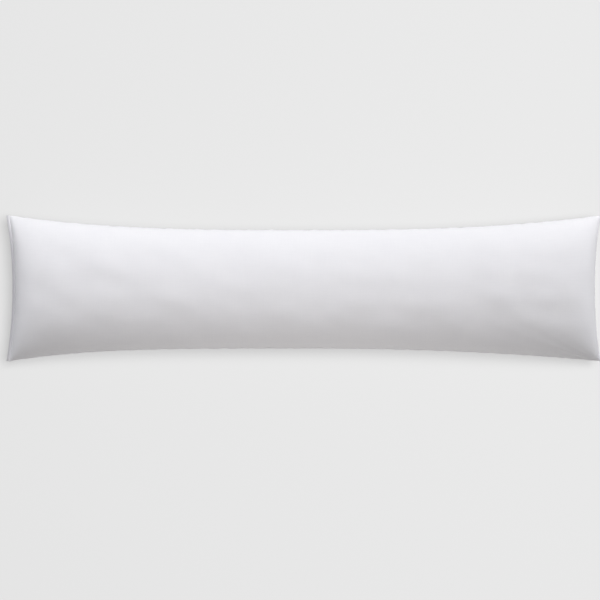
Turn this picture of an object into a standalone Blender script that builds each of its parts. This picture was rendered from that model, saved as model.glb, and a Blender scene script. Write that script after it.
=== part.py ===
"""Long lumbar pillow insert, lying on its back.

A maker sews two equal rectangles of plain white cloth together round their edges, turns the cover right
side out, fills it with fibre and closes the left end with one row of stitches. The filling pulls the long
sides in, so the cover keeps its full width only at its four pointed corners.

The pillow is one closed solid. X runs along it, Y across it and Z up. The origin is on the surface that it
lies on, below its middle.
"""

import math

import bpy
import numpy as np

# The filled cover's size, in metres
LENGTH = 1.200  # corner to corner along X
WIDTH = 0.294  # corner to corner along Y
THICKNESS = 0.140  # from the surface below to the crown
SEAM_HEIGHT = 0.066  # of the long seams above the surface, at mid-length

# How far the filling draws the sides in from the straight lines between the corners
FAR_SIDE_DRAWN_IN = 0.030  # at +Y
NEAR_SIDE_DRAWN_IN = 0.026  # at -Y
ENDS_DRAWN_IN = 0.0135  # at both ends
FAR_SIDE_BEND = (3.0, 2.7)  # power of the curve towards -X and towards +X, a higher one is flatter
NEAR_SIDE_BEND = (3.8, 2.2)
ENDS_BEND = 2.2
ENDS_REACH = 7.0  # a higher power keeps the ends' own curve nearer to the ends

# The crown falls to the seams as a rounded curve, a little more like a wedge at the corners
CROSSWAYS_ROUNDING = 2.0
LENGTHWAYS_ROUNDING = 12.0
SIDES_WEDGE = (0.47, 0.54)  # power of the fall to the long seams, at mid-length and at the ends
ENDS_WEDGE = (0.48, 0.54)  # power of the fall to the short seams, at mid-width and at the sides
NEAR_ENDS = 5  # power of a change that grows towards the ends
NEAR_SIDES = 4  # power of a change that grows towards the long sides

# The pillow sags a little where the filling is thin
END_SEAM_DROP = 0.010
CORNER_DROP = 0.012

# The underside: filling pressed flat where it rests
UNDERSIDE_DEPTH = 0.078  # how far below the seams it would hang with nothing under it
FLATTENING_BLEND = 0.004  # height over which the curve eases into the flat
FLAT_UNDER = 0.0007  # what would lie lower than this is part of the flat

# The cloth's edges
SEAM_THICKNESS = 0.0016  # two turned edges with their allowances inside
LIP_THICKNESS = 0.0024  # folded edges sewn flat at the closed end
LIP_WIDTH = 0.007
LIP_EDGE_SHARE = 0.5  # of the lip's extra thickness that is left at its outer edge
LIP_TAPER = 6  # power that keeps the lip's thickness until just before the corners

# Grid of each panel
CELLS_ALONG = 84
CELLS_ACROSS = 22
END_CROWDING = 0.9  # 0 spaces the columns evenly, 1 crowds them at the ends as on a circle
SMOOTH_UP_TO = math.radians(60)

CLOTH_WHITE = (0.88, 0.88, 0.91, 1.0)
CLOTH_ROUGHNESS = 0.85


def clear_scene():
    for old in list(bpy.data.objects):
        bpy.data.objects.remove(old, do_unlink=True)


def panel_stations():
    """Places along and across a panel, each from -1 to 1, closer together near the seams."""
    even = np.linspace(-1, 1, CELLS_ALONG + 1)
    round_spaced = np.sin(even * math.pi / 2)
    along = (1 - END_CROWDING) * even + END_CROWDING * round_spaced
    across = np.sin(np.linspace(-1, 1, CELLS_ACROSS + 1) * math.pi / 2)
    return along, across


def drawn_in_side(along, drawn_in, bend):
    """A long side's distance from the centre line: full at the corners, least at mid-length."""
    power = np.where(along < 0, bend[0], bend[1])
    return WIDTH / 2 - drawn_in * (1 - np.abs(along) ** power)


def outline_point(along, across):
    """X and Y of a place on a panel, pulled in with the four sides."""
    far = drawn_in_side(along, FAR_SIDE_DRAWN_IN, FAR_SIDE_BEND)
    near = drawn_in_side(along, NEAR_SIDE_DRAWN_IN, NEAR_SIDE_BEND)
    y = across * np.where(across > 0, far, near)
    end_curve = ENDS_DRAWN_IN * (1 - np.abs(across) ** ENDS_BEND)
    left_end = -LENGTH / 2 + LIP_WIDTH
    right_end = LENGTH / 2
    x = left_end + (right_end - left_end) * (along + 1) / 2
    x -= np.sign(along) * end_curve * np.abs(along) ** ENDS_REACH
    return x, y


def fullness(along, across):
    """0 on every seam and 1 at the crown, rounded at mid-length and more wedge-like at the corners."""
    to_end = np.abs(along) ** NEAR_ENDS
    to_side = np.abs(across) ** NEAR_SIDES
    side_power = SIDES_WEDGE[0] * (1 - to_end) + SIDES_WEDGE[1] * to_end
    end_power = ENDS_WEDGE[0] * (1 - to_side) + ENDS_WEDGE[1] * to_side
    crossways = (1 - np.abs(across) ** CROSSWAYS_ROUNDING) ** side_power
    lengthways = (1 - np.abs(along) ** LENGTHWAYS_ROUNDING) ** end_power
    return crossways * lengthways


def seam_plane(along, across):
    """Height of the plane that the seams lie in, lower towards the ends and lowest at the corners."""
    to_end = np.abs(along) ** NEAR_ENDS
    to_corner = to_end * np.abs(across) ** NEAR_SIDES
    return SEAM_HEIGHT - END_SEAM_DROP * to_end - CORNER_DROP * to_corner


def pressed_on_surface(height):
    """The height itself well above the surface, a parabola just above it, and a true flat under that."""
    sunk = np.maximum(height + FLATTENING_BLEND, 0)
    eased = sunk**2 / (4 * FLATTENING_BLEND)
    pressed = np.where(height > FLATTENING_BLEND, height, eased)
    return np.where(pressed < FLAT_UNDER, 0, pressed)


def panel(rise, half_edge, rests):
    """Points of one panel in columns across it, with two more columns for its half of the closing lip."""
    along, across = np.meshgrid(*panel_stations(), indexing="ij")
    x, y = outline_point(along, across)
    z = seam_plane(along, across) + rise * fullness(along, across) + half_edge
    if rests:
        z = pressed_on_surface(z)
    body = np.stack([x, y, z], axis=-1)
    lip_middle, lip_edge = body[0].copy(), body[0].copy()
    lip_middle[:, 0] -= LIP_WIDTH / 2
    lip_edge[:, 0] -= LIP_WIDTH
    thicker = (LIP_THICKNESS / SEAM_THICKNESS - 1) * half_edge * (1 - across[0] ** LIP_TAPER)
    lip_middle[:, 2] += thicker
    lip_edge[:, 2] += thicker * LIP_EDGE_SHARE
    return np.concatenate([lip_edge[None], lip_middle[None], body])


def closed_faces(columns, rows):
    """Quads of two panels with equal grids, joined by a strip round their edge."""
    index = np.arange(columns * rows).reshape(columns, rows)
    corners = [index[:-1, :-1], index[1:, :-1], index[1:, 1:], index[:-1, 1:]]
    upper = np.stack([corner.ravel() for corner in corners], axis=1)
    lower = upper[:, ::-1] + columns * rows
    rim = np.concatenate([index[:, 0], index[-1, 1:], index[-2::-1, -1], index[0, -2:0:-1]])
    following = np.roll(rim, -1)
    strip = np.stack([rim, rim + columns * rows, following + columns * rows, following], axis=1)
    return np.concatenate([upper, lower, strip])


def cloth_material():
    material = bpy.data.materials.new("white_cloth")
    material.use_nodes = True
    shader = material.node_tree.nodes["Principled BSDF"]
    shader.inputs["Base Color"].default_value = CLOTH_WHITE
    shader.inputs["Roughness"].default_value = CLOTH_ROUGHNESS
    shader.inputs["Metallic"].default_value = 0.0
    material.diffuse_color = CLOTH_WHITE
    return material


def make_pillow():
    crown_rise = THICKNESS - SEAM_HEIGHT - SEAM_THICKNESS / 2
    upper = panel(crown_rise, SEAM_THICKNESS / 2, rests=False)
    lower = panel(-UNDERSIDE_DEPTH, -SEAM_THICKNESS / 2, rests=True)
    points = np.concatenate([upper.reshape(-1, 3), lower.reshape(-1, 3)])
    faces = closed_faces(*upper.shape[:2])
    mesh = bpy.data.meshes.new("pillow_insert")
    mesh.from_pydata(points.tolist(), [], faces.tolist())
    mesh.validate()
    mesh.shade_smooth()
    mesh.set_sharp_from_angle(angle=SMOOTH_UP_TO)
    mesh.materials.append(cloth_material())
    pillow = bpy.data.objects.new("pillow_insert", mesh)
    bpy.context.scene.collection.objects.link(pillow)


clear_scene()
make_pillow()
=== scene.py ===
# %% [markdown]
# # A long lumbar pillow insert
#
# The real object is a cover of plain white cotton, filled with fibre. A maker cuts two equal rectangles,
# sews them together round the edge, turns the cover right side out through its left end, fills it and
# closes that end with a row of stitches. This lesson builds the same pillow in Blender: first its plump
# form, then what filling and sewing do to the cloth, then the closing stitches, and last the cloth's look.
#
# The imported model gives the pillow's true size and place. It is loaded first and never changed.

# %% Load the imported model
import math

import bpy
import numpy as np
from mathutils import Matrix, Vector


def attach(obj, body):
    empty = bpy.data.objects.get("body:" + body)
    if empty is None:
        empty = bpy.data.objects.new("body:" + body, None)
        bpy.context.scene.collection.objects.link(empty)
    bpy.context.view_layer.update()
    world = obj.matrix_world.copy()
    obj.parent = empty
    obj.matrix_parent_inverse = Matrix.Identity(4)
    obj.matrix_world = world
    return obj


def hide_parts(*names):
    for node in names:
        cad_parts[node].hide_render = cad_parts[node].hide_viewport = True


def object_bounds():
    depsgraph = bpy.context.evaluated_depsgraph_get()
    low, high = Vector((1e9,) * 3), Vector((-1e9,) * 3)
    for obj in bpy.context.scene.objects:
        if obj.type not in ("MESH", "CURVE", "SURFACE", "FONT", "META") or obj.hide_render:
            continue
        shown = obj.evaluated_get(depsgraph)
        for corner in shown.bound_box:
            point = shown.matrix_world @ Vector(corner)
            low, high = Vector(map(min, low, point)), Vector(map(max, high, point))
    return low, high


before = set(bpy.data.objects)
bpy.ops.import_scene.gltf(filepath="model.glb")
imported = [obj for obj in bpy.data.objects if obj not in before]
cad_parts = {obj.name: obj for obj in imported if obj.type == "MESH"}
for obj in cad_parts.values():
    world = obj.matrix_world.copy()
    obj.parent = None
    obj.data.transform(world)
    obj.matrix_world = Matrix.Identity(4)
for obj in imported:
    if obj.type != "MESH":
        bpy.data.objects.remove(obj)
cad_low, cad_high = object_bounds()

length, width, thickness = cad_high - cad_low
print(f"pillow {length:.3f} x {width:.3f} x {thickness:.3f} m")

# %% [markdown]
# ## The camera
#
# The pillow lies on its back and is seen from straight above. A long lens keeps its ends from leaning
# away. One pixel of the picture is the pillow's length over the pixels that it spans there, and the
# camera stands over the middle of the picture, not over the middle of the pillow.

# %% Camera
PICTURE = 600  # pixels on each side
SPAN = 594.0  # pixels from corner to corner of the pillow
MIDDLE_X = 303.4  # the pillow's middle, in pixels from the picture's left side
MIDDLE_Y = 288.3  # and from its top
LENS = 0.135
SENSOR = 0.036
CORNER_HEIGHT = 0.044  # of the pillow's four corners above the floor

metres_per_pixel = length / SPAN
camera_data = bpy.data.cameras.new("overhead_camera")
camera_data.lens = LENS * 1000
camera_data.sensor_width = SENSOR * 1000
camera = bpy.data.objects.new("overhead_camera", camera_data)
bpy.context.scene.collection.objects.link(camera)
camera.location = (
    (PICTURE / 2 - MIDDLE_X) * metres_per_pixel,
    (MIDDLE_Y - PICTURE / 2) * metres_per_pixel,
    CORNER_HEIGHT + LENS / SENSOR * PICTURE * metres_per_pixel,
)
bpy.context.scene.camera = camera
print(f"camera {camera.location.z:.2f} m above the floor, {metres_per_pixel * 1000:.3f} mm a pixel")

# %% [markdown]
# ## The outline of a filled cover
#
# A flat cover that is filled can't keep its straight sides. The cloth doesn't stretch, so where the
# filling lifts it the sides come in. Only the four corners, where little lifts the cloth, stay out. The
# outline could be left to a simulation, but then it would be hard to steer. Here a formula of two numbers
# gives it: `along` runs from end to end of a panel and `across` from side to side, both from -1 to 1, with
# the seams at -1 and 1.

# %% Outline of the panels
FAR_SIDE_DRAWN_IN = 0.030  # at +Y, in metres
NEAR_SIDE_DRAWN_IN = 0.026  # at -Y
ENDS_DRAWN_IN = 0.0135
FAR_SIDE_BEND = (3.0, 2.7)  # power towards -X and towards +X, a higher one is a flatter curve
NEAR_SIDE_BEND = (3.8, 2.2)
ENDS_BEND = 2.2
ENDS_REACH = 7.0
LIP_WIDTH = 0.007  # of the closing lip, which lies outside the left end of both panels


def drawn_in_side(along, drawn_in, bend):
    """Half the width, less the draw-in times one minus a power of the distance along."""
    power = np.where(along < 0, bend[0], bend[1])
    return width / 2 - drawn_in * (1 - np.abs(along) ** power)


def outline_point(along, across):
    """X and Y of a place on a panel: straight lines between the sides, pulled in with the ends."""
    far = drawn_in_side(along, FAR_SIDE_DRAWN_IN, FAR_SIDE_BEND)
    near = drawn_in_side(along, NEAR_SIDE_DRAWN_IN, NEAR_SIDE_BEND)
    y = across * np.where(across > 0, far, near)
    end_curve = ENDS_DRAWN_IN * (1 - np.abs(across) ** ENDS_BEND)
    left_end = -length / 2 + LIP_WIDTH
    x = left_end + (length / 2 - left_end) * (along + 1) / 2
    x = x - np.sign(along) * end_curve * np.abs(along) ** ENDS_REACH
    return x, y


middle_sides = outline_point(np.zeros(2), np.array([-1.0, 1.0]))[1]
print(f"drawn in from {width:.3f} m at the corners to {np.ptp(middle_sides):.3f} m at mid-length")

# %% [markdown]
# ## Its fullness
#
# Crossways a long pillow is nearly an ellipse, and lengthways it is level until it drops to its ends. Each
# is one minus a power, raised to a power under one, which gives a round crown and a steep fall to the
# seam. Near the corners there is less filling between the panels, so the fall becomes more like a wedge
# and the seams hang lower.

# %% Height of the panels
SEAM_HEIGHT = 0.066
UNDERSIDE_DEPTH = 0.078  # how far the lower panel would hang below the seams with no floor under it
CROSSWAYS_ROUNDING = 2.0
LENGTHWAYS_ROUNDING = 12.0
SIDES_WEDGE = (0.47, 0.54)  # power of the fall to the long seams, at mid-length and at the ends
ENDS_WEDGE = (0.48, 0.54)  # power of the fall to the short seams, at mid-width and at the sides
NEAR_ENDS = 5
NEAR_SIDES = 4
END_SEAM_DROP = 0.010
CORNER_DROP = 0.012


def fullness(along, across):
    """One minus a power of each number, both raised to the power of the fall to that seam."""
    to_end = np.abs(along) ** NEAR_ENDS
    to_side = np.abs(across) ** NEAR_SIDES
    side_power = SIDES_WEDGE[0] * (1 - to_end) + SIDES_WEDGE[1] * to_end
    end_power = ENDS_WEDGE[0] * (1 - to_side) + ENDS_WEDGE[1] * to_side
    crossways = (1 - np.abs(across) ** CROSSWAYS_ROUNDING) ** side_power
    lengthways = (1 - np.abs(along) ** LENGTHWAYS_ROUNDING) ** end_power
    return crossways * lengthways


def seam_plane(along, across):
    """Height of the plane of the seams, lower towards the ends and lowest at the corners."""
    to_end = np.abs(along) ** NEAR_ENDS
    to_corner = to_end * np.abs(across) ** NEAR_SIDES
    return SEAM_HEIGHT - END_SEAM_DROP * to_end - CORNER_DROP * to_corner


def panel(along, across, rise):
    """Points of a panel: the outline's X and Y, and the seam plane plus the rise times the fullness."""
    x, y = outline_point(along, across)
    z = seam_plane(along, across) + rise * fullness(along, across)
    return np.stack([x, y, z], axis=-1)


# %% [markdown]
# ## One grid for each panel
#
# Both panels use the same grid, so their edges meet point for point. Its points are spread like the threads
# of the cut cloth, in even steps of the cloth's own length, so the steep ends get as many as the crown. Each
# point also has a place on the flat cloth before it was sewn. The simulation works on a coarse grid. A finer
# one, with a new point between each two, takes the puckers and the seams afterwards.

# %% Grids
CUT_LENGTH = 1.219  # each panel as it was cut, inside its seams
CUT_WIDTH = 0.305
CELLS_ALONG = 240
CELLS_ACROSS = 48
SMALL_STEPS = 4000  # in which a panel's curve is measured

crown_rise = thickness - SEAM_HEIGHT


def even_steps(places, x, z, count):
    """The places that divide a curve into equal lengths, from the running sum of its small steps."""
    run = np.concatenate([[0], np.cumsum(np.hypot(np.diff(x), np.diff(z)))])
    return np.interp(np.linspace(0, run[-1], count + 1), run, places)


class PanelGrid:
    """Places of a panel's points: from -1 to 1 along and across it, and in metres on the flat cloth."""

    def __init__(self, finer):
        columns, rows = CELLS_ALONG * finer, CELLS_ACROSS * finer
        places = np.sin(np.linspace(-math.pi / 2, math.pi / 2, SMALL_STEPS + 1))
        middle_width = outline_point(np.zeros(1), np.ones(1))[1][0]
        along = even_steps(places, places * length / 2, crown_rise * fullness(places, 0.0), columns)
        across = even_steps(places, places * middle_width, crown_rise * fullness(0.0, places), rows)
        cut_along = np.linspace(-CUT_LENGTH / 2, CUT_LENGTH / 2, columns + 1)
        cut_across = np.linspace(-CUT_WIDTH / 2, CUT_WIDTH / 2, rows + 1)
        self.along, self.across = np.meshgrid(along, across, indexing="ij")
        self.cut_x, self.cut_y = np.meshgrid(cut_along, cut_across, indexing="ij")


coarse = PanelGrid(1)
fine = PanelGrid(2)


def refined(points):
    """The grid with a point between each two, from its four nearest as -1, 9, 9 and -1 sixteenths."""
    for axis in (0, 1):
        line = np.moveaxis(points, axis, 0)
        longer = np.concatenate([2 * line[:1] - line[1:2], line, 2 * line[-1:] - line[-2:-1]])
        middles = (9 * (longer[1:-2] + longer[2:-1]) - longer[:-3] - longer[3:]) / 16
        finer = np.empty((2 * len(line) - 1, *line.shape[1:]))
        finer[::2] = line
        finer[1::2] = middles
        points = np.moveaxis(finer, 0, axis)
    return points


def two_panels(columns, rows):
    """Numbers of the points of an upper and a lower grid that share their outer ring."""
    upper = np.arange(columns * rows).reshape(columns, rows)
    lower = upper.copy()
    own = np.arange((columns - 2) * (rows - 2)).reshape(columns - 2, rows - 2)
    lower[1:-1, 1:-1] = columns * rows + own
    return upper, lower


def cells(columns, rows):
    """The four corners of each cell of a grid, anticlockwise as seen from above."""
    index = np.arange(columns * rows).reshape(columns, rows)
    corners = [index[:-1, :-1], index[1:, :-1], index[1:, 1:], index[:-1, 1:]]
    return np.stack([corner.ravel() for corner in corners], axis=1)


def closed_mesh(name, upper_points, lower_points):
    """A closed mesh of two panels that share their outer ring, which is taken from the upper one."""
    columns, rows = upper_points.shape[:2]
    upper, lower = two_panels(columns, rows)
    points = np.concatenate([upper_points.reshape(-1, 3), lower_points[1:-1, 1:-1].reshape(-1, 3)])
    quads = cells(columns, rows)
    faces = np.concatenate([upper.ravel()[quads], lower.ravel()[quads[:, ::-1]]])
    mesh = bpy.data.meshes.new(name)
    mesh.from_pydata(points.tolist(), [], faces.tolist())
    mesh.shade_smooth()
    made = bpy.data.objects.new(name, mesh)
    bpy.context.scene.collection.objects.link(made)
    return made


print(f"{CELLS_ALONG} x {CELLS_ACROSS} cells a panel for the simulation, then twice as many each way")

# %% [markdown]
# ## Unevenness
#
# No filling is perfectly even and no seam gathers its cloth in a regular beat. Random numbers for each
# point would look like gravel. A sum of some waves of about the same length, each with its own direction
# and start, is uneven and smooth at once, and it is a formula, so it doesn't depend on the grid.


# %% Waves
def uneven(x, y, wave, spread, count, seed):
    """Sum of cosines of random directions and starts, with lengths within a share of one wave length."""
    random = np.random.default_rng(seed)
    turn = random.uniform(0, 2 * math.pi, count)
    start = random.uniform(0, 2 * math.pi, count)
    pace = 2 * math.pi / (wave * random.uniform(1 - spread, 1 + spread, count))
    phase = x[..., None] * (pace * np.cos(turn)) + y[..., None] * (pace * np.sin(turn)) + start
    return np.cos(phase).sum(axis=-1) * math.sqrt(2 / count)


# %% [markdown]
# ## Blown up as cloth
#
# The formula alone looks cast, not sewn. So the panels start a little too slack and lumpy, and Blender's
# cloth blows them up with pressure from inside. The seams are pinned, so the cloth tightens over its lumps
# and pulls at the corners as cotton does. Stiff springs and strong damping keep it calm. Even so a grid of
# springs settles into a fine check that no cloth has, so each point's move is averaged with its neighbours'.
# A cap on the moves keeps the size. The floor isn't there yet, it comes later.

# %% Cloth simulation
SLACK = 0.004  # how much lower than the filled form the panels start
LUMP_WAVES = ((0.130, 0.0007), (0.060, 0.00025))  # length and height of the filling's lumps
LUMP_SPREAD = 0.35  # share by which the waves' lengths vary
LUMP_COUNT = 14  # waves of each length
PRESSURE = 2.5
FRAMES = 20
FARTHEST = 0.006  # that a point may be moved
EASINGS = 4  # times that each point's move is averaged with its neighbours'


def lumps(points, seed):
    """Unevenness of the filling: long low waves and shorter ones."""
    shares = [
        height * uneven(points[..., 0], points[..., 1], wave, LUMP_SPREAD, LUMP_COUNT, seed + place)
        for place, (wave, height) in enumerate(LUMP_WAVES)
    ]
    return sum(shares)


def slack_panel(rise, seed):
    """A panel that starts lower than it ends, with the filling's lumps, both fading out at the seams."""
    full = fullness(coarse.along, coarse.across)
    points = panel(coarse.along, coarse.across, rise * (1 - SLACK / abs(rise)))
    points[..., 2] += np.sign(rise) * lumps(points, seed) * full
    return points


def eased(move):
    """The moves averaged with both neighbours along each axis, one to two to one, some times over."""
    for _ in range(EASINGS):
        move[1:-1] = (move[:-2] + 2 * move[1:-1] + move[2:]) / 4
        move[:, 1:-1] = (move[:, :-2] + 2 * move[:, 1:-1] + move[:, 2:]) / 4
    return move


def blown_up(upper_start, lower_start):
    """Both panels after the cloth simulation, each point moved no farther than the cap."""
    copy = closed_mesh("cloth_at_work", upper_start, lower_start)
    upper, lower = two_panels(*coarse.along.shape)
    seams = copy.vertex_groups.new(name="seams")
    ring = np.concatenate([upper[0], upper[-1], upper[1:-1, 0], upper[1:-1, -1]])
    seams.add(ring.tolist(), 1.0, "REPLACE")
    cloth_modifier = copy.modifiers.new("cloth", "CLOTH")
    settings = cloth_modifier.settings
    settings.quality = 6
    settings.mass = 0.3
    settings.air_damping = 10
    settings.tension_stiffness = 200
    settings.compression_stiffness = 100
    settings.shear_stiffness = 5
    settings.bending_stiffness = 10
    settings.tension_damping = 25
    settings.compression_damping = 25
    settings.bending_damping = 5
    settings.vertex_group_mass = "seams"
    settings.use_pressure = True
    settings.uniform_pressure_force = PRESSURE
    settings.effector_weights.gravity = 0
    cloth_modifier.point_cache.frame_end = FRAMES
    for step in range(1, FRAMES + 1):
        bpy.context.scene.frame_set(step)
    graph = bpy.context.evaluated_depsgraph_get()
    moved = np.empty((len(copy.data.vertices), 3), np.float32)
    copy.evaluated_get(graph).data.vertices.foreach_get("co", moved.ravel())
    bpy.context.scene.frame_set(1)
    bpy.data.objects.remove(copy, do_unlink=True)
    results = []
    for start, index in ((upper_start, upper), (lower_start, lower)):
        move = eased(moved[index] - start)
        distance = np.linalg.norm(move, axis=-1, keepdims=True)
        results.append(start + move * np.minimum(1, FARTHEST / np.maximum(distance, 1e-9)))
        print(f"cloth moved {distance.mean() * 1000:.1f} mm on average, at most {distance.max() * 1000:.1f}")
    return results


upper_panel = slack_panel(crown_rise, seed=11)
lower_panel = slack_panel(-UNDERSIDE_DEPTH, seed=31)
upper_panel, lower_panel = blown_up(upper_panel, lower_panel)
upper_panel, lower_panel = refined(upper_panel), refined(lower_panel)
print(f"crown {upper_panel[..., 2].max():.4f} m above the floor")

# %% [markdown]
# ## Puckers along the seams
#
# A seam that is drawn in is shorter than the cloth on both sides of it, so the cloth gathers into puckers
# that stand square to the seam. Short ones stay at the stitches and longer ones reach farther, because
# stiff cloth smooths a short wave sooner. So each wave of the sum fades with the distance from the seam at
# a rate that goes with its own length. Both panels are gathered by the same thread, so most of the pattern
# is common to them.

# %% Puckers
SIDE_PUCKER = 0.0004  # height of a pucker at the long seams
END_PUCKER = 0.0004
PUCKER_WAVES = (0.011, 0.045)  # shortest and longest
PUCKER_COUNT = 16  # waves in the sum
PUCKER_SPREAD = 0.1  # share by which their lengths vary
PUCKER_REACH = 0.45  # how far a pucker reaches, as a share of its length
PUCKER_HOLD = 0.006  # how close to the end seams, and at the ends to the corners, they are held down
OWN_SHARE = 0.35  # of the puckers that the two panels don't have in common


def puckers(place, distance, seed):
    """Sum of cosines along a seam, each fading with the distance from it over a share of its length."""
    random = np.random.default_rng(seed)
    spread = random.uniform(1 - PUCKER_SPREAD, 1 + PUCKER_SPREAD, PUCKER_COUNT)
    waves = np.geomspace(*PUCKER_WAVES, PUCKER_COUNT) * spread
    start = random.uniform(0, 2 * math.pi, waves.size)
    fade = np.exp(-distance[..., None] / (PUCKER_REACH * waves))
    crests = np.cos(2 * math.pi * place[..., None] / waves + start)
    return (crests * fade * waves / waves.mean()).sum(axis=-1) * math.sqrt(2 / waves.size)


def seam_puckers(points, seed):
    """Puckers of all four seams, each about its own seam."""
    to_side = CUT_WIDTH / 2 - np.abs(fine.cut_y)
    to_end = CUT_LENGTH / 2 - np.abs(fine.cut_x)
    x, y = points[..., 0], points[..., 1]
    sides = np.where(fine.across > 0, puckers(x, to_side, seed), puckers(x, to_side, seed + 1))
    ends = np.where(fine.along > 0, puckers(y, to_end, seed + 2), puckers(y, to_end, seed + 3))
    sides_held = 1 - np.exp(-to_end / PUCKER_HOLD)
    ends_held = sides_held * (1 - np.exp(-to_side / PUCKER_HOLD))
    return SIDE_PUCKER * sides * sides_held + END_PUCKER * ends * ends_held


def normals(points):
    """Unit normals of a grid, from the cross product of its two directions."""
    direction = np.cross(np.gradient(points, axis=0), np.gradient(points, axis=1))
    size = np.linalg.norm(direction, axis=-1, keepdims=True)
    return direction / np.maximum(size, 1e-12)


shared = seam_puckers(upper_panel, seed=51)
upper_pucker = (1 - OWN_SHARE) * shared + OWN_SHARE * seam_puckers(upper_panel, seed=61)
lower_pucker = (1 - OWN_SHARE) * shared + OWN_SHARE * seam_puckers(lower_panel, seed=71)
upper_panel = upper_panel + upper_pucker[..., None] * normals(upper_panel)
lower_panel = lower_panel - lower_pucker[..., None] * normals(lower_panel)
print(f"puckers up to {np.abs(upper_pucker).max() * 1000:.2f} mm high")

# %% [markdown]
# ## Creases from the corners
#
# Into each corner the maker turned a square of cloth, and hardly any filling follows it there. A few soft
# creases fan out from it, close to the long seam. They are waves of the angle round the corner, strongest
# four or five centimetres into the pillow and gone a hand's breadth farther on. The corner towards the
# viewer at the right has the plainest ones.

# %% Corner creases
CREASES = {(-1, -1): 0.0002, (-1, 1): 0.0002, (1, -1): 0.0011, (1, 1): 0.0002}  # height at each corner
CREASE_REACH = 0.045  # distance from the corner at which they are highest
CREASE_COUNTS = (6, 9, 12)  # waves in a quarter turn
CREASE_ANGLE = 0.30  # from the long seam, in radians, at which they are highest
CREASE_FAN = 0.18  # angle on both sides of that over which they fade
CREASE_HOLD = (0.006, 0.004)  # how close to the end seam and to the long seam they are held down


def corner_creases(seed):
    """Waves of the angle round each corner, times a hump of that angle and a hump of the distance."""
    random = np.random.default_rng(seed)
    total = np.zeros_like(fine.along)
    for (end, side), height in CREASES.items():
        from_end = CUT_LENGTH / 2 - end * fine.cut_x
        from_side = CUT_WIDTH / 2 - side * fine.cut_y
        distance = np.hypot(from_end, from_side)
        angle = np.arctan2(from_side, from_end)
        hump = distance / CREASE_REACH * np.exp(1 - distance / CREASE_REACH)
        starts = random.uniform(0, 2 * math.pi, len(CREASE_COUNTS))
        waves = sum(np.cos(4 * count * angle + start) for count, start in zip(CREASE_COUNTS, starts))
        fan = waves * np.exp(-(((angle - CREASE_ANGLE) / CREASE_FAN) ** 2))
        off_seams = (1 - np.exp(-from_end / CREASE_HOLD[0])) * (1 - np.exp(-from_side / CREASE_HOLD[1]))
        total += height * hump * off_seams * fan / math.sqrt(len(CREASE_COUNTS))
    return total


upper_panel = upper_panel + corner_creases(seed=81)[..., None] * normals(upper_panel)
lower_panel = lower_panel - corner_creases(seed=91)[..., None] * normals(lower_panel)

# %% [markdown]
# ## Resting on the floor
#
# The filled pillow presses itself flat where it lies. A hard cut at the floor would leave an edge, so just
# above the floor the height follows a parabola that meets the floor level.

# %% Press the underside flat
FLATTENING_BLEND = 0.004  # height over which the curve eases into the flat
RESTS_BELOW = 0.0005  # height under which a point counts as lying on the floor


def pressed_on_floor(height):
    """The height itself well above the floor, a parabola just above it, and zero under that."""
    sunk = np.maximum(height + FLATTENING_BLEND, 0)
    parabola = sunk**2 / (4 * FLATTENING_BLEND)
    return np.where(height > FLATTENING_BLEND, height, parabola)


lower_panel[..., 2] = pressed_on_floor(lower_panel[..., 2])
resting = (lower_panel[..., 2] < RESTS_BELOW).mean()
print(f"{resting:.0%} of the lower panel's points lie on the floor")

# %% [markdown]
# ## The sewn edges
#
# Three sides are sewn from inside and turned, so outside they show only as a fine crevice between two
# rolled edges. The left end was left open for the filling. Its edges are folded in and stitched from
# outside, which leaves a narrow lip that droops a little, with the row of stitches in a trough beside the
# pillow. Trough and droop fade out towards the corners. Lip and crevice are both profiles carried along the
# panels' edges: the lip adds columns outside the left end, and the crevice adds rings round the whole, each
# farther inwards. Both panels share the last ring.

# %% Closing lip and crevice
SEAM_THICKNESS = 0.0016  # of the two rolled edges together
CREVICE_RINGS = (  # distance inside the edge, height as a share of its own, and how much painted shade it gets
    (0.0002, 0.45, 0.4),
    (0.0014, 0.0, 1.0),
)
LIP_PROFILE = (  # distance outside the panel's end, half the thickness there, and how much painted shade it gets
    (0.0009, 0.00070, 0.0),
    (0.0017, 0.00045, 0.1),
    (0.0025, 0.00095, 0.1),
    (0.0034, 0.00135, 0.3),
    (0.0045, 0.00140, 0.6),
    (0.0056, 0.00120, 0.6),
    (0.0065, 0.00085, 0.6),
    (0.0070, 0.00035, 0.6),
)
LIP_DROOP = 0.0020  # how far its outer edge hangs down
STITCH_LINE = 1  # number of the lip's place, counted from 0, that holds the row of stitches
LIP_TAPER = 3  # a higher power keeps the lip's profile nearer to the corners

end_seam_height = seam_plane(fine.along[0], fine.across[0])


def with_lip(points, side):
    """The panel with the columns of its half of the lip before its first one."""
    foot = points[0].copy()
    foot[:, 2] = end_seam_height
    thin = 1 - np.abs(fine.across[0]) ** LIP_TAPER
    columns = []
    for distance, half_thickness, _ in reversed(LIP_PROFILE):
        column = foot.copy()
        column[:, 0] -= distance
        column[:, 2] += side * (SEAM_THICKNESS / 2 * (1 - thin) + half_thickness * thin)
        column[:, 2] -= LIP_DROOP * thin * (distance / LIP_WIDTH) ** 2
        columns.append(column)
    return np.concatenate([np.stack(columns), points])


def rings_outside(shape):
    """How many rings each point of a ringed grid lies outside its left, right, near and far edge."""
    rings = len(CREVICE_RINGS)
    column, row = np.indices(shape)
    right, far = column - (shape[0] - 1 - rings), row - (shape[1] - 1 - rings)
    return [np.maximum(steps, 0) for steps in (rings - column, right, rings - row, far)]


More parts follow.
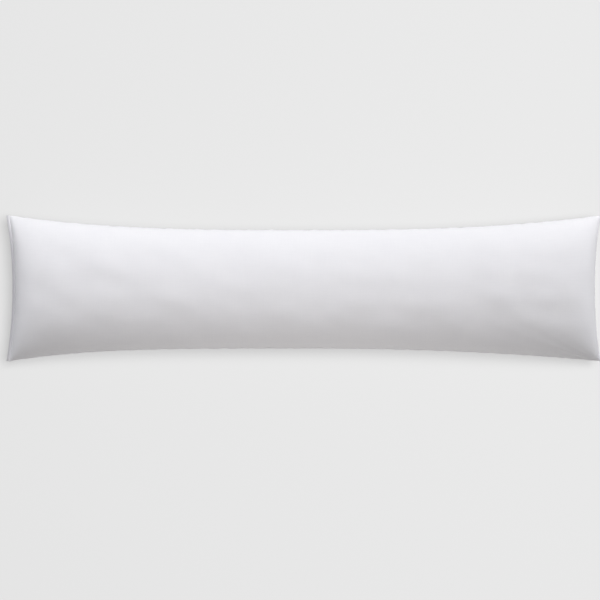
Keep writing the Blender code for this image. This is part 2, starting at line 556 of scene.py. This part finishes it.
def with_crevice(points, seam_height):
    """The grid with rings added round it, each farther inside its edge and nearer to the seam's height."""
    rings = len(CREVICE_RINGS)
    inside = np.array([0.0] + [ring[0] for ring in CREVICE_RINGS])
    share = np.array([1.0] + [ring[1] for ring in CREVICE_RINGS])
    ringed = np.pad(points, ((rings, rings), (rings, rings), (0, 0)), mode="edge")
    height = np.pad(seam_height, rings, mode="edge")
    left, right, near, far = rings_outside(height.shape)
    ringed[..., 0] += inside[left] - inside[right]
    ringed[..., 1] += inside[near] - inside[far]
    ring = np.maximum.reduce([left, right, near, far])
    ringed[..., 2] = height + share[ring] * (ringed[..., 2] - height)
    return ringed


upper_panel[..., 2] += SEAM_THICKNESS / 2
lower_panel[..., 2] -= SEAM_THICKNESS / 2 * (lower_panel[..., 2] > SEAM_THICKNESS)
upper_whole = with_lip(upper_panel, 1)
lower_whole = with_lip(lower_panel, -1)
seam_height = (upper_whole[..., 2] + lower_whole[..., 2]) / 2
upper_whole = with_crevice(upper_whole, seam_height)
lower_whole = with_crevice(lower_whole, seam_height)
cover = closed_mesh("pillow_cover", upper_whole, lower_whole)
print(f"cover of {len(cover.data.polygons)} faces")

# %% [markdown]
# ## Where each thread lies
#
# The weave has to follow the cloth, so the cover gets a UV map in metres of cloth. Cotton doesn't stretch,
# so a point's place on the flat panel is its distance along its own thread, which is a running sum of the
# steps between neighbours on the grid. The lower panel's map lies beside the upper one's. A second mark on
# the points says how much painted shade the cloth gets there: a darker colour stands in for the shade in the
# seams' crevices and on the lip, most on its outer edge.

# %% UV map and painted seam shade
PANELS_APART = 1.0


def thread_lengths(points):
    """Distance along both grid directions, counted from the middle of the panel."""
    steps_along = np.linalg.norm(np.diff(points, axis=0, prepend=points[:1]), axis=-1)
    steps_across = np.linalg.norm(np.diff(points, axis=1, prepend=points[:, :1]), axis=-1)
    u = np.cumsum(steps_along, axis=0)
    v = np.cumsum(steps_across, axis=1)
    return np.stack([u - u[len(u) // 2], v - v[:, v.shape[1] // 2][:, None]], axis=-1)


grid_cells = cells(*upper_whole.shape[:2])
upper_uv = thread_lengths(upper_whole).reshape(-1, 2)[grid_cells]
lower_uv = thread_lengths(lower_whole).reshape(-1, 2)[grid_cells[:, ::-1]] + (0, PANELS_APART)
uv_map = cover.data.uv_layers.new(name="cloth_metres")
uv_map.uv.foreach_set("vector", np.concatenate([upper_uv, lower_uv]).ravel().astype(np.float32))

# Painted shade: a share of a darker colour for each crevice ring and each place on the lip, most on the lip's
# outer edge.
crevice_painted_shades = np.array([0.0] + [ring[2] for ring in CREVICE_RINGS])
painted_shade = crevice_painted_shades[np.maximum.reduce(rings_outside(upper_whole.shape[:2]))]
lip_painted_shades = np.array([place[2] for place in reversed(LIP_PROFILE)])
on_lip = slice(len(CREVICE_RINGS), len(CREVICE_RINGS) + len(LIP_PROFILE))
across_lip = slice(len(CREVICE_RINGS), -len(CREVICE_RINGS))
painted_shade[on_lip, across_lip] = lip_painted_shades[:, None]
painted_shade_mark = cover.data.attributes.new("painted_seam_shade", "FLOAT", "POINT")
both_painted_shades = np.concatenate([painted_shade.ravel(), painted_shade[1:-1, 1:-1].ravel()])
painted_shade_mark.data.foreach_set("value", both_painted_shades.astype(np.float32))

# %% [markdown]
# ## The row of closing stitches
#
# The closing row is a lockstitch: short straight stitches of white thread, end to end in the lip's trough,
# on both faces. Each stitch is a little roll that rises out of one hole and dips into the next. All of them
# are computed at once, as one array with a row for each stitch.

# %% Stitches
STITCH_PITCH = 0.0032
STITCH_LENGTH = 0.0026
STITCHED_SHARE = 0.93  # of the end's width, the rest is tucked into the corners
THREAD = 0.0006  # thickness
BACK_TACK_AT = 0.037  # place across where the closing begins, sewn over twice
BACK_TACK = 5  # stitches in the second layer there
TURNS = 8  # points round a roll
STEPS = 7  # circles along a roll
END_SHARE = 0.02  # of the square of its thickness that a stitch keeps at its ends
DIP = 0.8  # of the thread's thickness by which the ends lie lower
ROW_LIFT = 0.0002  # of the row's thread above the trough
TACK_LIFT = 0.0005  # of the second layer


def stitch_rolls(centres, side, lift):
    """Rolls along Y in the lip's trough: circles carried along each stitch, smaller and lower at its ends."""
    place = np.linspace(-1, 1, STEPS)
    turn = np.linspace(0, 2 * math.pi, TURNS, endpoint=False)
    bulge = np.sqrt(np.maximum(1 - place**4, END_SHARE))
    y = centres[:, None, None] + place[None, :, None] * STITCH_LENGTH / 2 + 0 * turn
    foot_x = np.interp(y, upper_panel[0, :, 1], upper_panel[0, :, 0])
    foot_z = np.interp(y, upper_panel[0, :, 1], end_seam_height)
    radius = THREAD / 2 * bulge[None, :, None]
    outside, half_thickness, _ = LIP_PROFILE[STITCH_LINE]
    x = foot_x - outside + radius * np.cos(turn)
    arch = lift + THREAD * DIP * (bulge[None, :, None] - 1)
    z = foot_z + side * (half_thickness + arch) + radius * np.sin(turn)
    return np.stack([x, y, z], axis=-1)


def roll_faces(count):
    """Quads round each roll, and a face over both ends of each."""
    index = np.arange(count * STEPS * TURNS).reshape(count, STEPS, TURNS)
    beside = np.roll(index, -1, axis=2)
    around = np.stack([index[:, :-1], beside[:, :-1], beside[:, 1:], index[:, 1:]], axis=-1).reshape(-1, 4)
    caps = np.concatenate([index[:, 0, ::-1], index[:, -1]])
    return around.tolist() + caps.tolist()


lip_ends = STITCHED_SHARE * width / 2
centres = np.arange(-lip_ends, lip_ends, STITCH_PITCH)
tack = BACK_TACK_AT + (np.arange(BACK_TACK) - BACK_TACK / 2) * STITCH_PITCH
rolls = [stitch_rolls(centres, side, ROW_LIFT) for side in (1, -1)]
rolls += [stitch_rolls(tack, side, TACK_LIFT) for side in (1, -1)]
stitches = np.concatenate(rolls)
stitch_mesh = bpy.data.meshes.new("closing_stitches")
stitch_mesh.from_pydata(stitches.reshape(-1, 3).tolist(), [], roll_faces(len(stitches)))
stitch_mesh.shade_smooth()
row = bpy.data.objects.new("closing_stitches", stitch_mesh)
bpy.context.scene.collection.objects.link(row)
print(f"{len(stitches)} stitches, {len(centres)} in the row on each face")

# %% [markdown]
# ## Shader maths in plain Python
#
# A material is a network of nodes. Built by hand in code it soon hides what it computes. So one small class
# wraps an output socket and overloads the arithmetic on it: `1 - mask` adds a Math node and wraps its
# output. Every other kind of node comes from one method, which sets the node's settings before its sockets.


# %% Sockets that calculate
class Socket:
    """One output socket of a material. Arithmetic on it adds Math nodes."""

    def __init__(self, finish, socket):
        self.finish = finish
        self.socket = socket

    def math(self, operation, first, second=0.0):
        return self.finish.node("ShaderNodeMath", {"operation": operation}, {0: first, 1: second})

    def __add__(self, other):
        return self.math("ADD", self, other)

    def __radd__(self, other):
        return self.math("ADD", other, self)

    def __sub__(self, other):
        return self.math("SUBTRACT", self, other)

    def __rsub__(self, other):
        return self.math("SUBTRACT", other, self)

    def __mul__(self, other):
        return self.math("MULTIPLY", self, other)

    def __rmul__(self, other):
        return self.math("MULTIPLY", other, self)

    def cosine(self):
        return self.math("COSINE", self)


class Finish:
    """A material with an empty node tree, and one method that adds any node to it."""

    def __init__(self, name):
        self.material = bpy.data.materials.new(name)
        self.material.use_nodes = True
        self.tree = self.material.node_tree
        self.tree.nodes.clear()

    def node(self, kind, settings=None, sockets=None, output=0):
        """Adds a node, sets its settings, then gives its sockets values or links. Returns one output."""
        added = self.tree.nodes.new(kind)
        for name, value in (settings or {}).items():
            setattr(added, name, value)
        for name, value in (sockets or {}).items():
            if isinstance(value, Socket):
                self.tree.links.new(value.socket, added.inputs[name])
            else:
                added.inputs[name].default_value = value
        return Socket(self, added.outputs[output])

    def finished(self, surface):
        """Links a shader to the material's output and returns the material."""
        end = self.tree.nodes.new("ShaderNodeOutputMaterial")
        self.tree.links.new(surface.socket, end.inputs["Surface"])
        return self.material


def mixed(finish, share, first, second):
    """A colour between two: the first where the share is 0, the second where it is 1."""
    settings = {"data_type": "RGBA"}
    return finish.node("ShaderNodeMix", settings, {"Factor": share, 6: first, 7: second}, 2)


def raised(finish, height):
    """Normals of a surface that is raised by a height in metres."""
    return finish.node("ShaderNodeBump", None, {"Strength": 1.0, "Distance": 1.0, "Height": height})


# %% [markdown]
# ## Plain cotton
#
# The cover is a fine plain weave, matt and nearly white. From a step away what shows isn't the weave but its
# unevenness: a thicker thread here and there in both directions, and places where the cloth is denser. All
# of this is in metres of cloth on the UV map, so it runs with the threads over every curve. The bump's
# heights are true metres too. In the seams' crevices and on the lip's outer edge the colour is darkened with
# painted shade.

# %% Cotton
COTTON = (0.87, 0.87, 0.89, 1)
COTTON_SHADE = (0.80, 0.80, 0.83, 1)
# Painted shade for the seams' crevices and the lip's outer edge.
PAINTED_CREVICE_SHADE = (0.42, 0.42, 0.45, 1)
PAINTED_CREVICE_SHARE = 0.9  # of that painted shade at the bottom of a seam
THREAD_PITCH = 0.00045
WEAVE_HEIGHT = 0.000015
SLUB_HEIGHT = 0.000025
ALONG_THREADS = 25  # changes of the noise in a metre along a thread
ACROSS_THREADS = 420  # and in a metre across the threads
DENSER_PLACES = 14  # in a metre, both ways
DRIFT = 2.5  # radians by which the weave shifts where the cloth is denser
SHADE_CONTRAST = 1.2
SHADE_START = 0.1


def threads(finish, uv, stretch, detail):
    """Noise drawn out along one thread direction, from 0 to 1."""
    drawn = finish.node("ShaderNodeMapping", {"vector_type": "POINT"}, {"Vector": uv, "Scale": stretch})
    return finish.node(
        "ShaderNodeTexNoise",
        {"noise_dimensions": "2D"},
        {"Vector": drawn, "Scale": 1.0, "Detail": detail, "Roughness": 0.6},
    )


def cotton():
    finish = Finish("white_cotton")
    uv = finish.node("ShaderNodeUVMap", {"uv_map": "cloth_metres"})
    u = finish.node("ShaderNodeSeparateXYZ", None, {"Vector": uv}, 0)
    v = finish.node("ShaderNodeSeparateXYZ", None, {"Vector": uv}, 1)
    painted_shade_share = finish.node("ShaderNodeAttribute", {"attribute_name": "painted_seam_shade"}, None, "Fac")
    warp = threads(finish, uv, (ALONG_THREADS, ACROSS_THREADS, 1), 3.0)
    weft = threads(finish, uv, (ACROSS_THREADS, ALONG_THREADS, 1), 3.0)
    dense = threads(finish, uv, (DENSER_PLACES, DENSER_PLACES, 1), 2.0)
    turn = math.pi / THREAD_PITCH
    drift = DRIFT * dense
    weave = (u * turn + drift).cosine() * (v * turn + drift).cosine()
    slubs = warp + weft - 1.0
    shade = SHADE_CONTRAST * (0.35 * dense + 0.35 * warp + 0.30 * weft) - SHADE_START
    cloth_colour = mixed(finish, shade, COTTON, COTTON_SHADE)
    # Painted shade: the seam mark darkens the colour in the crevices and on the lip's outer edge.
    colour = mixed(finish, PAINTED_CREVICE_SHARE * painted_shade_share, cloth_colour, PAINTED_CREVICE_SHADE)
    height = WEAVE_HEIGHT * weave + SLUB_HEIGHT * slubs
    bump = raised(finish, height)
    surface = finish.node(
        "ShaderNodeBsdfPrincipled",
        None,
        {
            "Base Color": colour,
            "Roughness": 0.82 + 0.14 * dense,
            "Specular IOR Level": 0.25,
            "Sheen Weight": 0.15,
            "Sheen Roughness": 0.5,
            "Normal": bump,
        },
    )
    return finish.finished(surface)


cover.data.materials.append(cotton())
print("cotton:", len(cover.data.materials[0].node_tree.nodes), "nodes")

# %% [markdown]
# ## Sewing thread
#
# The thread is white polyester, a little brighter and glossier than the cotton. Two strands twisted round
# each other show as slanting stripes, from a wave across the thread's own direction. The wave raises the
# strands with a bump and darkens the grooves between them with painted shade.

# %% Thread
THREAD_WHITE = (0.90, 0.90, 0.91, 1)
PAINTED_GROOVE_SHADE = (0.70, 0.70, 0.73, 1)
TWIST = 0.0009  # from one slanting strand to the next
TWIST_HEIGHT = 0.00004


def sewing_thread():
    finish = Finish("white_thread")
    place = finish.node("ShaderNodeTexCoord", None, None, "Object")
    x = finish.node("ShaderNodeSeparateXYZ", None, {"Vector": place}, 0)
    y = finish.node("ShaderNodeSeparateXYZ", None, {"Vector": place}, 1)
    strands = 0.5 + 0.5 * (2 * math.pi / TWIST * (x + y)).cosine()
    # Painted shade: the colour is darker where the wave dips, in the grooves between the strands.
    colour = mixed(finish, strands, PAINTED_GROOVE_SHADE, THREAD_WHITE)
    bump = raised(finish, TWIST_HEIGHT * strands)
    surface = finish.node(
        "ShaderNodeBsdfPrincipled",
        None,
        {"Base Color": colour, "Roughness": 0.6 - 0.1 * strands, "Specular IOR Level": 0.4, "Normal": bump},
    )
    return finish.finished(surface)


stitch_mesh.materials.append(sewing_thread())

# %% [markdown]
# ## Floor
#
# The floor is a pale sheet that shines a little by itself, which keeps it even over the whole picture. Its
# glow must not reach the pillow, or the underside would look lit from inside. Blender's light linking keeps
# the two apart: a collection names what a light, or a glowing object, leaves out.

# %% Pale floor
FLOOR_SIZE = 60.0
FLOOR_GREY = (0.12, 0.12, 0.12, 1)
FLOOR_GLOW = 0.50
half = FLOOR_SIZE / 2
floor_mesh = bpy.data.meshes.new("floor")
floor_mesh.from_pydata(
    [(-half, -half, 0), (half, -half, 0), (half, half, 0), (-half, half, 0)], [], [(0, 1, 2, 3)]
)
floor = bpy.data.objects.new("floor", floor_mesh)
bpy.context.scene.collection.objects.link(floor)


def pale_floor():
    finish = Finish("pale_floor")
    surface = finish.node(
        "ShaderNodeBsdfPrincipled",
        None,
        {
            "Base Color": FLOOR_GREY,
            "Roughness": 1.0,
            "Specular IOR Level": 0.0,
            "Emission Color": (1, 1, 1, 1),
            "Emission Strength": FLOOR_GLOW,
        },
    )
    return finish.finished(surface)


def keeps_off(source, *left_out):
    """Stops a light or a glowing object from lighting some objects."""
    group = bpy.data.collections.new(source.name + "_leaves_out")
    for other in left_out:
        group.objects.link(other)
    source.light_linking.receiver_collection = group
    for entry in group.collection_objects:
        entry.light_linking.link_state = "EXCLUDE"


floor_mesh.materials.append(pale_floor())
keeps_off(floor, cover, row)

# %% [markdown]
# ## Light
#
# A soft key light stands behind the pillow, so the cloth is brightest at its far side. Lower ones at both
# ends keep the steep ends from going dark. Two fill in from the front: one on a stand, and a small one close
# to the middle, which leaves the corners towards the viewer darker than the long side between them. A faint
# one hangs overhead. None of them lights the floor, where they would throw long shadows. The floor has a
# light of its own, high up and large, so that the pillow leaves only a narrow shadow beside it. The
# background adds next to nothing.

# %% Lights
AMBIENT = (0.02, 0.02, 0.02, 1)
STAND_DISTANCE = 2.6  # of the lights on stands from the pillow's middle
STAND_SIZE = 1.4
world = bpy.data.worlds.new("studio")
bpy.context.scene.world = world
world.use_nodes = True
world.node_tree.nodes["Background"].inputs["Color"].default_value = AMBIENT


def soft_light(name, turn, elevation, distance, size, watts, colour=(1, 1, 1)):
    """A square light that faces the origin from a turn about Z, counted from +Y towards +X, and a height."""
    data = bpy.data.lights.new(name, "AREA")
    data.shape = "SQUARE"
    data.size = size
    data.energy = watts
    data.color = colour
    light = bpy.data.objects.new(name, data)
    bpy.context.scene.collection.objects.link(light)
    turn, elevation = math.radians(turn), math.radians(elevation)
    level = math.cos(elevation) * distance
    light.location = (level * math.sin(turn), level * math.cos(turn), math.sin(elevation) * distance)
    light.rotation_euler = (elevation - math.pi / 2, 0, -turn)
    return light


def light_on_stand(name, turn, elevation, watts, colour):
    """A soft light on a stand that doesn't light the floor."""
    light = soft_light(name, turn, elevation, STAND_DISTANCE, STAND_SIZE, watts, colour)
    keeps_off(light, floor)


light_on_stand("key_light", turn=3, elevation=38, watts=42, colour=(1.0, 0.995, 1.0))
light_on_stand("right_light", turn=70, elevation=8, watts=41, colour=(0.99, 0.985, 1.0))
light_on_stand("left_light", turn=-60, elevation=22, watts=27, colour=(0.98, 0.98, 1.0))
light_on_stand("front_light", turn=180, elevation=40, watts=16.5, colour=(1.0, 0.985, 0.985))
near_front = soft_light(
    "near_front_light", turn=180, elevation=28, distance=1.0, size=0.8, watts=2.3, colour=(1.0, 0.945, 0.89)
)
overhead = soft_light(
    "overhead_light", turn=0, elevation=89, distance=1.0, size=1.2, watts=1.0, colour=(0.96, 0.955, 1.0)
)
floor_light = soft_light("floor_light", turn=66, elevation=75, distance=8.0, size=4.4, watts=1830)
keeps_off(near_front, floor)
keeps_off(overhead, floor)
keeps_off(floor_light, cover, row)
bpy.context.scene.view_settings.view_transform = "Standard"

# %% [markdown]
# ## Hand over
#
# The cover and its stitches belong to the pillow's one body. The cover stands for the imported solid.

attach(cover, "root")
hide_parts("pillow_insert")
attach(row, "root")
